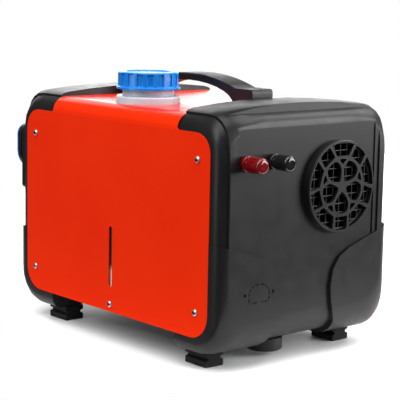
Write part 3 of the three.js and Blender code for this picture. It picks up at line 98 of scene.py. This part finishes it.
# a finish drifts slowly between two colours, wears to an uneven gloss and may have a fine grain
def makeFinish(name, look):
    material = bpy.data.materials.new(name)
    material.use_nodes = True
    tree = material.node_tree
    shader = tree.nodes["Principled BSDF"]
    stretch = look.get("stretch")
    for socket, value in look.get("fixed", {}).items():
        shader.inputs[socket].default_value = value
    drift = linkNoise(material, look["driftScale"], noiseLook["driftDetail"], stretch=stretch)
    share = spread(material, drift.outputs["Fac"], 0, 1)
    tree.links.new(mixColours(material, share, *look["colour"]), shader.inputs["Base Color"])
    wear = linkNoise(material, look["wearScale"], noiseLook["wearDetail"], stretch=stretch)
    tree.links.new(spread(material, wear.outputs["Fac"], *look["roughness"]), shader.inputs["Roughness"])
    if "grain" in look:
        scale, depth = look["grain"]
        grain = linkNoise(material, scale, noiseLook["grainDetail"], noiseLook["grainRoughness"], stretch)
        bump = tree.nodes.new("ShaderNodeBump")
        bump.inputs["Strength"].default_value = look.get("grainStrength", noiseLook["grainStrength"])
        bump.inputs["Distance"].default_value = depth
        tree.links.new(grain.outputs["Fac"], bump.inputs["Height"])
        tree.links.new(bump.outputs["Normal"], shader.inputs["Normal"])
    return material


finishLooks = {
    "glossRedPaint": {
        "colour": ((0.77, 0.021, 0.0015), (0.81, 0.026, 0.002)), "driftScale": 9,
        "roughness": (0.16, 0.22), "wearScale": 40, "grain": (420, 0.00003), "grainStrength": 0.1,
        "fixed": {"Specular IOR Level": 0.12}},
    "satinBlackPlastic": {
        "colour": ((0.006, 0.0062, 0.007), (0.009, 0.0092, 0.010)), "driftScale": 14,
        "roughness": (0.34, 0.42), "wearScale": 60, "grain": (1500, 0.00004), "grainStrength": 0.35,
        "fixed": {"Specular IOR Level": 0.24}},
    "blackRubber": {
        "colour": ((0.007, 0.007, 0.0075), (0.011, 0.011, 0.0115)), "driftScale": 60,
        "roughness": (0.62, 0.80), "wearScale": 160, "grain": (1800, 0.00005),
        "fixed": {"Specular IOR Level": 0.15}},
    "royalBluePlastic": {
        "colour": ((0.003, 0.165, 0.58), (0.005, 0.205, 0.68)), "driftScale": 25,
        "roughness": (0.22, 0.32), "wearScale": 90, "grain": (900, 0.00002),
        "fixed": {"Specular IOR Level": 0.35}},
    "deepRedPlastic": {
        "colour": ((0.115, 0.001, 0.003), (0.165, 0.003, 0.005)), "driftScale": 60,
        "roughness": (0.06, 0.11), "wearScale": 120, "grain": (600, 0.00001)},
    "glossBlackPlastic": {
        "colour": ((0.006, 0.006, 0.007), (0.010, 0.010, 0.011)), "driftScale": 60,
        "roughness": (0.06, 0.11), "wearScale": 120, "grain": (600, 0.00001)},
    "zincPlate": {
        "colour": ((0.66, 0.67, 0.69), (0.80, 0.81, 0.82)), "driftScale": 120,
        "roughness": (0.24, 0.38), "wearScale": 500, "fixed": {"Metallic": 1.0}},
    "castAluminium": {
        "colour": ((0.34, 0.35, 0.36), (0.47, 0.47, 0.48)), "driftScale": 60,
        "roughness": (0.42, 0.60), "wearScale": 300, "grain": (900, 0.0001), "fixed": {"Metallic": 0.9}},
    "turnedBrass": {
        "colour": ((0.56, 0.34, 0.08), (0.66, 0.42, 0.13)), "driftScale": 150,
        "roughness": (0.22, 0.34), "wearScale": 600, "stretch": (6, 1, 1), "fixed": {"Metallic": 1.0}},
    "blackCoatedSteel": {
        "colour": ((0.020, 0.020, 0.022), (0.030, 0.031, 0.033)), "driftScale": 30,
        "roughness": (0.42, 0.58), "wearScale": 140, "grain": (1200, 0.00004), "fixed": {"Metallic": 0.2}},
    "boardGreen": {
        "colour": ((0.008, 0.075, 0.025), (0.014, 0.125, 0.040)), "driftScale": 260,
        "roughness": (0.30, 0.42), "wearScale": 300},
    "displayGlass": {
        "colour": ((0.004, 0.006, 0.010), (0.010, 0.016, 0.026)), "driftScale": 18,
        "roughness": (0.04, 0.09), "wearScale": 30, "fixed": {"Coat Weight": 0.6, "Coat Roughness": 0.02}},
    "hoseRubber": {
        "colour": ((0.013, 0.013, 0.015), (0.020, 0.020, 0.022)), "driftScale": 40,
        "roughness": (0.5, 0.7), "wearScale": 120, "grain": (700, 0.00006)},
}
finishes = {name: makeFinish(name, look) for name, look in finishLooks.items()}
slotFinish = {
    "red_paint": "glossRedPaint", "black_plastic": "satinBlackPlastic", "black_rubber": "blackRubber",
    "blue_plastic": "royalBluePlastic", "red_plastic": "deepRedPlastic", "gloss_black": "glossBlackPlastic",
    "zinc_steel": "zincPlate", "cast_aluminium": "castAluminium", "brass": "turnedBrass",
    "black_steel": "blackCoatedSteel", "board_green": "boardGreen", "screen_glass": "displayGlass",
    "hose_rubber": "hoseRubber", "milky_plastic": "milkyTank",
}

# the tank's milky plastic: its own milky colour above the casing, a painted shade where it sits unlit
# inside the casing, and paler where fuel stands behind it
tankLook = {
    "milk": (0.50, 0.54, 0.60), "paintedShade": (0.035, 0.033, 0.030), "fuel": (0.62, 0.60, 0.52),
    "casingTop": 0.2645, "fuelLevel": 0.0855, "blur": 0.004, "cloudScale": 45, "roughness": (0.28, 0.42),
    "translucent": 0.35, "glowDepth": (0.006, 0.007, 0.008),
}


def makeTankFinish(look):
    material = bpy.data.materials.new("milkyTank")
    material.use_nodes = True
    tree = material.node_tree
    shader = tree.nodes["Principled BSDF"]
    place = tree.nodes.new("ShaderNodeTexCoord")
    place.name = "place"
    split = tree.nodes.new("ShaderNodeSeparateXYZ")
    tree.links.new(place.outputs["Object"], split.inputs["Vector"])

    def above(height):
        step = tree.nodes.new("ShaderNodeMapRange")
        step.inputs["From Min"].default_value = height - look["blur"]
        step.inputs["From Max"].default_value = height + look["blur"]
        tree.links.new(split.outputs["Z"], step.inputs["Value"])
        return step.outputs["Result"]

    # between the fuel level and the casing top the colour is painted shade for the unlit inside of the
    # casing, not the plastic's own tone
    inside = mixColours(material, above(look["fuelLevel"]), look["fuel"], look["paintedShade"])
    whole = mixColours(material, above(look["casingTop"]), inside, look["milk"])
    tree.links.new(whole, shader.inputs["Base Color"])
    cloud = linkNoise(material, look["cloudScale"])
    tree.links.new(spread(material, cloud.outputs["Fac"], *look["roughness"]), shader.inputs["Roughness"])
    shader.inputs["Subsurface Weight"].default_value = look["translucent"]
    shader.inputs["Subsurface Radius"].default_value = look["glowDepth"]
    shader.inputs["Subsurface Scale"].default_value = 1.0
    return material


finishes["milkyTank"] = makeTankFinish(tankLook)
for nodeName, node in cadNodes.items():
    node.data.materials.clear()
    node.data.materials.append(finishes[slotFinish[nodeSlot[nodeName]]])
print("finishes made:", len(finishes))


def onlySelect(piece):
    bpy.ops.object.select_all(action="DESELECT")
    piece.select_set(True)
    bpy.context.view_layer.objects.active = piece


def leaveEditMode():
    if bpy.context.mode != "OBJECT":
        bpy.ops.object.mode_set(mode="OBJECT")


def applyModifiers(piece):
    onlySelect(piece)
    for modifier in list(piece.modifiers):
        bpy.ops.object.modifier_apply(modifier=modifier.name)


def settle(piece, name, finish, body, *replaced):
    onlySelect(piece)
    bpy.ops.object.transform_apply(location=True, rotation=True, scale=True)
    piece.name = name
    piece.data.name = name
    piece.data.materials.clear()
    piece.data.materials.append(finishes[finish])
    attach(piece, body)
    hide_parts(*replaced)


def addMesh(kind, **options):
    bpy.ops.object.select_all(action="DESELECT")
    getattr(bpy.ops.mesh, "primitive_" + kind + "_add")(**options)
    return bpy.context.object


# a CAD node's mesh with its corners merged and its flat faces made whole
mergeLook = {"reach": 0.00002, "flatAngle": 0.6}


def mergedCopy(nodeName, pieceName):
    piece = bpy.data.objects.new(pieceName, cadNodes[nodeName].data.copy())
    bpy.context.scene.collection.objects.link(piece)
    onlySelect(piece)
    if piece.data.has_custom_normals:
        bpy.ops.mesh.customdata_custom_splitnormals_clear()
    bpy.ops.object.mode_set(mode="EDIT")
    bpy.ops.mesh.select_all(action="SELECT")
    bpy.ops.mesh.remove_doubles(threshold=mergeLook["reach"])
    bpy.ops.mesh.dissolve_limited(angle_limit=math.radians(mergeLook["flatAngle"]))
    bpy.ops.object.mode_set(mode="OBJECT")
    return piece


# edges sharper than the edge angle are rounded, then curves shade smooth up to the smooth angle
def easeEdges(piece, ease, segments=2, edge=30, smooth=40, weight=50):
    leaveEditMode()
    if ease:
        bevel = piece.modifiers.new("ease", "BEVEL")
        bevel.width = ease
        bevel.segments = segments
        bevel.limit_method = "ANGLE"
        bevel.angle_limit = math.radians(edge)
    applyModifiers(piece)
    bpy.ops.object.shade_smooth_by_angle(angle=math.radians(smooth))
    even = piece.modifiers.new("even", "WEIGHTED_NORMAL")
    even.keep_sharp = True
    even.weight = weight
    applyModifiers(piece)


# nodes that keep the CAD's shape and get a small round on their edges, in mm
easeLook = {
    "plain": {"segments": 2, "edge": 30, "smooth": 32, "weight": 80},
    "endCap": {"segments": 3, "edge": 28, "smooth": 42, "weight": 80},
    "screw": {"segments": 2, "edge": 40, "smooth": 50, "weight": 80},
    "screwEase": 0.15,
}
easedNodes = {
    "right_end_cap": 1.3, "left_end_cap": 1.3, "casing_wrap": 0.25,
    "outlet_collar": 0.4, "outlet_louvre": 0.3, "air_inlet_socket": 0.5,
    "foot_front_left": 0.5, "foot_front_right": 0.5, "foot_back_left": 0.5, "foot_back_right": 0.5,
    "controller_housing": 0.5, "controller_bezel": 0.3, "controller_trim": 0.3, "controller_plate": 0.3,
    "controller_screen": 0.2, "controller_dial": 0.3, "controller_key_1": 0.3, "controller_key_2": 0.3,
    "fuel_tank": 0.8, "terminal_red_base": 0.3, "terminal_black_base": 0.3,
    "terminal_red_washer": 0.15, "terminal_black_washer": 0.15,
    "base_tray": 0.2, "exhaust_pipe": 0.2, "air_inlet_hose": 0, "burner_stand": 0.3,
}
screws = [nodeName for nodeName in cadNodes if nodeName.startswith(("screw_", "handle_screw"))]
easedNodes.update({nodeName: easeLook["screwEase"] for nodeName in screws})
for nodeName, ease in easedNodes.items():
    manner = "endCap" if nodeName.endswith("end_cap") else "screw" if nodeName in screws else "plain"
    easedPiece = mergedCopy(nodeName, nodeName + "_eased")
    easeEdges(easedPiece, ease * mm, **easeLook[manner])
    settle(easedPiece, nodeName + "_eased", slotFinish[nodeSlot[nodeName]], bodyOfNode[nodeName], nodeName)
print("nodes eased:", len(easedNodes))

# share of a face's normal along the axis: a side face has less than "side", an end face more than "end"
facing = {"side": 0.2, "end": 0.9}


def clearPicks(piece):
    leaveEditMode()
    for group in (piece.data.vertices, piece.data.edges, piece.data.polygons):
        for part in group:
            part.select = False


def pickFaces(piece, test):
    clearPicks(piece)
    for face in piece.data.polygons:
        face.select = test(face)
    bpy.ops.object.mode_set(mode="EDIT")
    bpy.ops.mesh.select_mode(type="FACE")


# an edge is picked by its two ends and by the normals of the two faces that meet there
def pickEdges(piece, test):
    clearPicks(piece)
    mesh = piece.data
    meeting = {}
    for face in mesh.polygons:
        for key in face.edge_keys:
            meeting.setdefault(key, []).append(face.normal.copy())
    bpy.ops.object.mode_set(mode="EDIT")
    bpy.ops.mesh.select_mode(type="EDGE")
    bpy.ops.object.mode_set(mode="OBJECT")
    for edge in mesh.edges:
        normals = meeting.get(edge.key, [])
        first, second = (mesh.vertices[index].co for index in edge.vertices)
        edge.select = len(normals) == 2 and test(first, second, *normals)
    bpy.ops.object.mode_set(mode="EDIT")


# filler cap: a cylinder with recessed finger panels, a dished top, a flared skirt and a hollow inside
capLook = {
    "flutes": 18, "facesPerFlute": 8, "panelFaces": 5, "firstPanel": 7.0, "gripRadius": 0.0340,
    "frame": 0.0007, "sink": 0.0016, "skirt": 0.0030, "skirtStep": 0.0009, "skirtFlare": 1.055,
    "skirtCut": 0.0006, "rim": 0.0016, "rimSlope": 0.0016, "rimDrop": 0.8, "rimWidth": 0.0004,
    "land": 0.0062, "dish": 0.0014, "inner": 0.0294, "topPlate": 0.0032, "near": 0.0001, "flush": 0.00001,
    "ease": {"ease": 0.0005, "edge": 28, "smooth": 35},
}


def makeFillerCap(look):
    low, high = (Vector(corner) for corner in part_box("filler_cap"))
    middle = (low + high) / 2
    foot = low.z + look["skirt"]
    shoulder = high.z - look["rimSlope"]
    cap = addMesh("cylinder", vertices=look["flutes"] * look["facesPerFlute"], radius=look["gripRadius"],
                  depth=high.z - foot, location=(middle.x, middle.y, (high.z + foot) / 2))
    bpy.ops.object.transform_apply(location=True, rotation=True, scale=True)
    period = 360 / look["flutes"]
    reach = look["panelFaces"] / look["facesPerFlute"] * period / 2

    def isSide(face):
        return abs(face.normal.z) < facing["side"]

    def isPanel(face):
        angle = math.degrees(math.atan2(face.center.y - middle.y, face.center.x - middle.x))
        away = abs((angle - look["firstPanel"] + period / 2) % period - period / 2)
        return isSide(face) and foot + look["skirtCut"] < face.center.z < shoulder and away < reach

    pickFaces(cap, lambda face: face.normal.z > facing["end"])
    bpy.ops.mesh.inset(thickness=look["rim"], depth=0)
    bpy.ops.mesh.inset(thickness=look["land"], depth=0)
    bpy.ops.mesh.inset(thickness=look["rimSlope"], depth=-look["dish"])
    for height in (shoulder, foot + look["skirtCut"]):
        pickFaces(cap, isSide)
        bpy.ops.mesh.bisect(plane_co=(0, 0, height), plane_no=(0, 0, 1))
    pickFaces(cap, isPanel)
    bpy.ops.mesh.inset(thickness=look["frame"], depth=-look["sink"])
    pickFaces(cap, lambda face: face.normal.z < -facing["end"] and face.center.z < foot + look["near"])
    bpy.ops.mesh.extrude_region_move(TRANSFORM_OT_translate={"value": (0, 0, -look["skirtStep"])})
    bpy.ops.transform.resize(value=(look["skirtFlare"], look["skirtFlare"], 1),
                             center_override=(middle.x, middle.y, foot))
    drop = look["skirt"] - look["skirtStep"]
    bpy.ops.mesh.extrude_region_move(TRANSFORM_OT_translate={"value": (0, 0, -drop)})
    bpy.ops.mesh.inset(thickness=look["gripRadius"] * look["skirtFlare"] - look["inner"], depth=0)
    hollow = high.z - look["topPlate"] - low.z
    bpy.ops.mesh.extrude_region_move(TRANSFORM_OT_translate={"value": (0, 0, hollow)})
    bpy.ops.object.mode_set(mode="OBJECT")
    for point in cap.data.vertices:
        radius = math.hypot(point.co.x - middle.x, point.co.y - middle.y)
        if point.co.z > high.z - look["flush"] and radius > look["gripRadius"] - look["rimWidth"]:
            point.co.z -= look["rimSlope"] * look["rimDrop"]
    easeEdges(cap, **look["ease"])
    settle(cap, "filler_cap_moulding", "royalBluePlastic", "cap", "filler_cap")


makeFillerCap(capLook)

# post knobs: a barrel with sunk flutes and a polished end that falls away ring by ring
knobLook = {
    "flutes": 12, "facesPerFlute": 4, "radius": 0.0084, "fluteStart": 0.0012, "fluteLength": 0.60,
    "sink": 0.0005, "frame": 0.00022, "endSteps": (0.5, 1.0, 1.4, 1.8), "footSteps": (0.4,),
    "falls": (0.0032, 0.0017, 0.0008, 0.00025, 0.0), "near": 0.0001, "flush": 0.00002, "decimals": 5,
    "ease": {"ease": 0.0003},
}


def makeKnob(node, name, finish, body, look):
    low, high = (Vector(corner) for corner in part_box(node))
    middle = (low + high) / 2
    length = high.x - low.x
    sides = look["flutes"] * look["facesPerFlute"]
    start = low.x + look["fluteStart"]
    stop = start + length * look["fluteLength"]
    knob = addMesh("cylinder", vertices=sides, radius=look["radius"], depth=length,
                   location=middle, rotation=(0, math.radians(90), 0))
    bpy.ops.object.transform_apply(location=True, rotation=True, scale=True)

    def isSide(face):
        return abs(face.normal.x) < facing["side"]

    def isFlute(face):
        angle = math.degrees(math.atan2(face.center.z - middle.z, face.center.y - middle.y))
        number = round(angle * sides / 360 - 0.5)
        return isSide(face) and start < face.center.x < stop and number % look["facesPerFlute"] == 0

    def ringRadius(point):
        return round(math.hypot(point.co.y - middle.y, point.co.z - middle.z), look["decimals"])

    for x in (start, stop):
        pickFaces(knob, isSide)
        bpy.ops.mesh.bisect(plane_co=(x, 0, 0), plane_no=(1, 0, 0))
    pickFaces(knob, isFlute)
    bpy.ops.mesh.inset(thickness=look["frame"], depth=-look["sink"])
    for way, place, widths in ((1, high.x, look["endSteps"]), (-1, low.x, look["footSteps"])):
        pickFaces(knob, lambda face: face.normal.x * way > facing["end"]
                  and abs(face.center.x - place) < look["near"])
        for width in widths:
            bpy.ops.mesh.inset(thickness=width * mm, depth=0)
        bpy.ops.object.mode_set(mode="OBJECT")
    endPoints = [point for point in knob.data.vertices if point.co.x > high.x - look["flush"]]
    rings = sorted({ringRadius(point) for point in endPoints}, reverse=True)
    for point in endPoints:
        point.co.x -= look["falls"][rings.index(ringRadius(point))]
    easeEdges(knob, **look["ease"])
    settle(knob, name, finish, body, node)


for tint, finish in (("red", "deepRedPlastic"), ("black", "glossBlackPlastic")):
    makeKnob("terminal_" + tint + "_knob", tint + "_post_knob", finish, tint + "_knob", knobLook)
print("cap and knobs modelled")

# wire guard behind the grille: a round rim with two crossing rows of wire
guardLook = {"pitch": 0.0097, "wireRadius": 0.00065, "rimRadius": 0.0008, "rows": 4, "wireSides": 8,
             "rimSteps": 72, "rimSides": 10, "crossing": 0.0001, "smooth": 50}


def makeGuard(look):
    low, high = (Vector(corner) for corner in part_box("intake_guard"))
    middle = (low + high) / 2
    reach = (high.z - low.z) / 2 - look["rimRadius"]
    parts = [addMesh("torus", major_radius=reach, minor_radius=look["rimRadius"],
                     major_segments=look["rimSteps"], minor_segments=look["rimSides"],
                     location=middle, rotation=(0, math.radians(90), 0))]
    for row in range(-look["rows"], look["rows"] + 1):
        side = row * look["pitch"]
        length = 2 * math.sqrt(reach ** 2 - side ** 2)
        upright = Vector((look["crossing"], side, 0))
        level = Vector((-look["crossing"], 0, side))
        for along, tilt in ((upright, 0), (level, 90)):
            parts.append(addMesh("cylinder", vertices=look["wireSides"], radius=look["wireRadius"],
                                 depth=length, location=middle + along,
                                 rotation=(math.radians(tilt), 0, 0)))
    bpy.ops.object.select_all(action="DESELECT")
    for part in parts:
        part.select_set(True)
    bpy.context.view_layer.objects.active = parts[0]
    bpy.ops.object.join()
    guard = bpy.context.object
    bpy.ops.object.shade_smooth_by_angle(angle=math.radians(look["smooth"]))
    settle(guard, "wire_guard", "blackCoatedSteel", "casing", "intake_guard")


makeGuard(guardLook)

# intake grille: the outer ribs get their full width and every window its round corners
grilleLook = {
    "ribFrom": 0.0325, "ribTo": 0.0485, "alongRib": 0.6, "widen": 0.0008,
    "corner": 0.0026, "cornerTurn": 38, "cornerSteps": 4,
    "ease": {"ease": 0.0005, "edge": 40, "smooth": 45},
}


def makeGrille(look):
    low, high = (Vector(corner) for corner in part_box("intake_grille"))
    middle = (low + high) / 2
    grille = mergedCopy("intake_grille", "intake_flower_grille")

    def isRibSide(face):
        spoke = Vector((0, face.center.y - middle.y, face.center.z - middle.z))
        return (abs(face.normal.x) < facing["side"] and look["ribFrom"] < spoke.length < look["ribTo"]
                and abs(face.normal.dot(spoke.normalized())) < look["alongRib"])

    def isCorner(first, second, normal, other):
        radius = math.hypot(first.y - middle.y, first.z - middle.z)
        isLevel = abs(first.x - second.x) > facing["end"] * (first - second).length
        return isLevel and radius < look["ribTo"] and normal.angle(other) > math.radians(look["cornerTurn"])

    pickFaces(grille, isRibSide)
    bpy.ops.transform.shrink_fatten(value=look["widen"])
    pickEdges(grille, isCorner)
    bpy.ops.mesh.bevel(offset=look["corner"], segments=look["cornerSteps"], affect="EDGES",
                       clamp_overlap=True)
    easeEdges(grille, **look["ease"])
    settle(grille, "intake_flower_grille", "satinBlackPlastic", "casing", "intake_grille")


makeGrille(grilleLook)

# carry handle: the long edges of its blocks and arch get a wide round
handleLook = {"round": 0.0016, "roundSteps": 3, "turn": 50, "shortest": 2.5}


def makeHandle(look):
    handle = mergedCopy("carry_handle", "handle_arch")

    def isLongEdge(first, second, normal, other):
        isSharp = normal.angle(other) > math.radians(look["turn"])
        return isSharp and (first - second).length > look["round"] * look["shortest"]

    pickEdges(handle, isLongEdge)
    bpy.ops.mesh.bevel(offset=look["round"], segments=look["roundSteps"], affect="EDGES",
                       clamp_overlap=True)
    easeEdges(handle, 0)
    settle(handle, "handle_arch", "satinBlackPlastic", bodyOfNode["carry_handle"], "carry_handle")


makeHandle(handleLook)
print("guard, grille and handle modelled")

# the floor ends close round the heater, so the black end mirrors little of it
floorLook = {
    "width": 1.40, "depth": 1.9, "at": (-0.34, 0.78),
    "colour": ((0.90, 0.90, 0.91), (0.92, 0.92, 0.93)), "driftScale": 0.5,
    "roughness": (0.55, 0.65), "wearScale": 2,
}
bpy.ops.mesh.primitive_plane_add(size=1, location=(*floorLook["at"], 0))
floor = bpy.context.object
floor.name = "floor"
floor.scale = (floorLook["width"], floorLook["depth"], 1)
bpy.ops.object.transform_apply(location=True, rotation=True, scale=True)
floor.data.materials.append(makeFinish("paleFloor", floorLook))

lamps = {
    "rightPanel": {"at": (1.5, 1.3, 0.74), "aim": (0.0, 0.0, 0.40), "size": 1.2, "power": 48},
    "topPanel": {"at": (0.30, 1.10, 1.30), "aim": (0.0, 0.0, 0.25), "size": 0.9, "power": 13},
    "backPanel": {"at": (-2.1, 2.3, 0.45), "aim": (0.0, 0.0, 0.25), "size": 1.8, "power": 26},
    "frontPanel": {"at": (0.20, -1.7, 1.5), "aim": (0.0, 0.0, 0.20), "size": 1.2, "power": 27},
    "frontStrip": {"at": (-0.35, -2.0, 0.20), "aim": (0.1, 0.0, 0.17), "size": 0.6, "power": 6},
    "leftPanel": {"at": (-2.1, 0.7, 1.2), "aim": (0.0, 0.0, 0.15), "size": 1.4, "power": 14},
    "overhead": {"at": (0.15, -0.15, 1.0), "aim": (0.0, 0.0, 0.0), "spreadAngle": 60, "power": 3.4},
}
for name, lamp in lamps.items():
    kind = "SUN" if "spreadAngle" in lamp else "AREA"
    bpy.ops.object.light_add(type=kind, location=lamp["at"])
    light = bpy.context.object
    light.name = name
    if kind == "SUN":
        light.data.angle = math.radians(lamp["spreadAngle"])
    else:
        light.data.size = lamp["size"]
    light.data.energy = lamp["power"]
    light.rotation_euler = (Vector(lamp["aim"]) - Vector(lamp["at"])).to_track_quat("-Z", "Y").to_euler()

backdrop = {"seen": 1.0, "glow": 0.12}  # the paper behind, and what it gives as soft light
world = bpy.data.worlds.new("studio")
bpy.context.scene.world = world
world.use_nodes = True
sky = world.node_tree.nodes["Background"]
sky.inputs["Color"].default_value = (1.0, 1.0, 1.0, 1.0)
path = world.node_tree.nodes.new("ShaderNodeLightPath")
level = world.node_tree.nodes.new("ShaderNodeMapRange")
level.inputs["To Min"].default_value = backdrop["glow"]
level.inputs["To Max"].default_value = backdrop["seen"]
world.node_tree.links.new(path.outputs["Is Camera Ray"], level.inputs["Value"])
world.node_tree.links.new(level.outputs["Result"], sky.inputs["Strength"])

shot = {"azimuth": 49.66, "elevation": 8.90, "roll": 1.08, "at": (1.22935, -1.03935, 0.40440),
        "lens": 125.1, "sensor": 36, "farEnd": 200}
turn, tilt, roll = (math.radians(shot[key]) for key in ("azimuth", "elevation", "roll"))
back = Vector((math.sin(turn) * math.cos(tilt), -math.cos(turn) * math.cos(tilt), math.sin(tilt)))
right = Vector((math.cos(turn), math.sin(turn), 0))
up = back.cross(right)
rolledRight = right * math.cos(roll) + up * math.sin(roll)
rolledUp = up * math.cos(roll) - right * math.sin(roll)
cameraData = bpy.data.cameras.new("shot")
cameraData.lens = shot["lens"]
cameraData.sensor_width = shot["sensor"]
cameraData.clip_end = shot["farEnd"]
camera = bpy.data.objects.new("shot", cameraData)
bpy.context.scene.collection.objects.link(camera)
axes = Matrix((rolledRight, rolledUp, back)).transposed().to_4x4()
camera.matrix_world = Matrix.Translation(shot["at"]) @ axes
bpy.context.scene.camera = camera
bpy.context.scene.view_settings.view_transform = "Standard"
print("stage ready")
